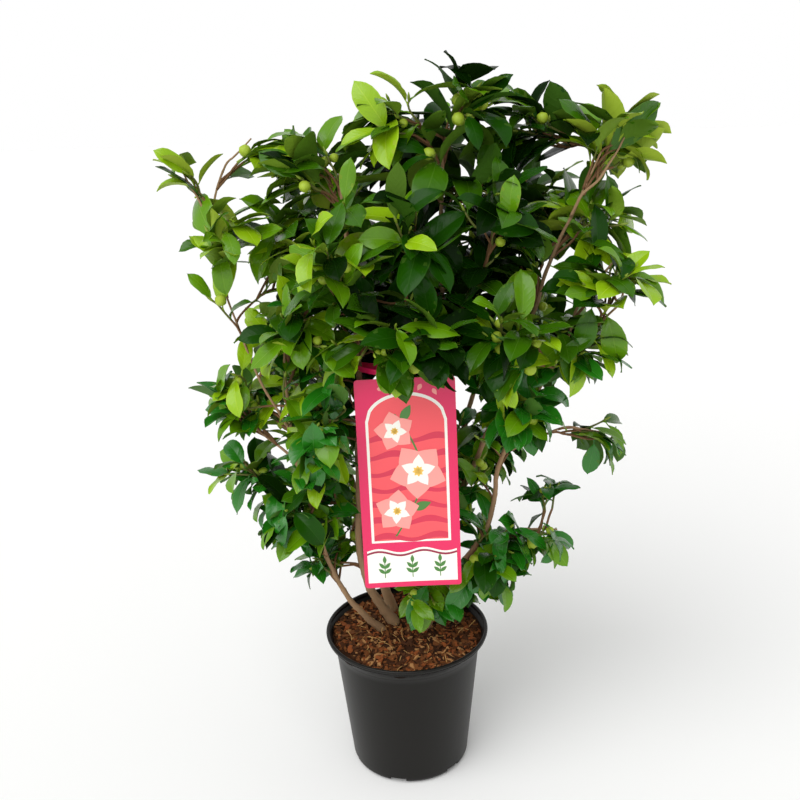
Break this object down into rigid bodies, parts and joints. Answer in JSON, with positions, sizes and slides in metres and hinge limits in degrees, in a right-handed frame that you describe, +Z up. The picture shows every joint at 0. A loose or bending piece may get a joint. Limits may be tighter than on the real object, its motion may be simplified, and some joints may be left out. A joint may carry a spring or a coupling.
{
  "type": "potted camellia shrub",
  "caption": "Potted camellia shrub: slender stems rise to a loose, broad crown of glossy leaves from bark mulch in a round tapered nursery pot, with a plain picture card looped on in front.",
  "frame": {"origin": "centre of the pot's flat underside, on the surface that the pot stands on", "axes": "+Z up; -Y is the shrub's front, where the picture card hangs; +X to the right seen from the front"},
  "size_m": [0.4647, 0.3177, 0.7226],
  "materials": {
    "pot": "matte",
    "soil": "matte",
    "bark": "matte",
    "leaves": "satin",
    "card": "gloss"
  },
  "bodies": {
    "root": {"pot": "pot", "potting_soil": "soil", "picture_card": "card", "stem_left": "bark", "stem_front": "bark", "stem_centre": "bark", "stem_right": "bark", "stem_right_low": "bark", "stem_back_left": "bark", "stem_back_right": "bark", "bough_left_shoot": "bark", "bough_right_fork": "bark", "bough_right_arm": "bark", "bough_right_tip": "bark", "bough_right_spray": "bark", "bough_left_low": "bark", "bough_left_side": "bark", "bough_left_arch": "bark", "bough_left_tip": "bark", "foliage_top_spire": "leaves", "foliage_top_left": "leaves", "foliage_top_back": "leaves", "foliage_right_shoulder": "leaves", "foliage_right_upper": "leaves", "foliage_right_arm": "leaves", "foliage_right_middle": "leaves", "foliage_right_tip": "leaves", "foliage_right_lower": "leaves", "foliage_right_spray": "leaves", "foliage_right_low_spray": "leaves", "foliage_right_foot": "leaves", "foliage_middle_foot": "leaves", "foliage_left_shoulder": "leaves", "foliage_left_arch": "leaves", "foliage_left_tip": "leaves", "foliage_left_upper": "leaves", "foliage_left_inner": "leaves", "foliage_left_side": "leaves", "foliage_left_low_tip": "leaves", "foliage_left_lower": "leaves", "foliage_left_foot": "leaves", "foliage_left_stem_foot": "leaves", "foliage_left_foot_tip": "leaves", "foliage_front_left_high": "leaves", "foliage_front_high": "leaves", "foliage_front_centre": "leaves", "foliage_front_right": "leaves", "foliage_front_right_high": "leaves", "foliage_front_left_low": "leaves", "foliage_core_low": "leaves", "foliage_core_middle": "leaves", "foliage_core_right": "leaves", "foliage_back_high": "leaves", "foliage_back_left_high": "leaves", "foliage_back_right_high": "leaves", "foliage_back_middle": "leaves", "foliage_back_left": "leaves", "foliage_back_right": "leaves", "foliage_back_left_low": "leaves", "foliage_back_right_low": "leaves"}
  },
  "joints": []
}
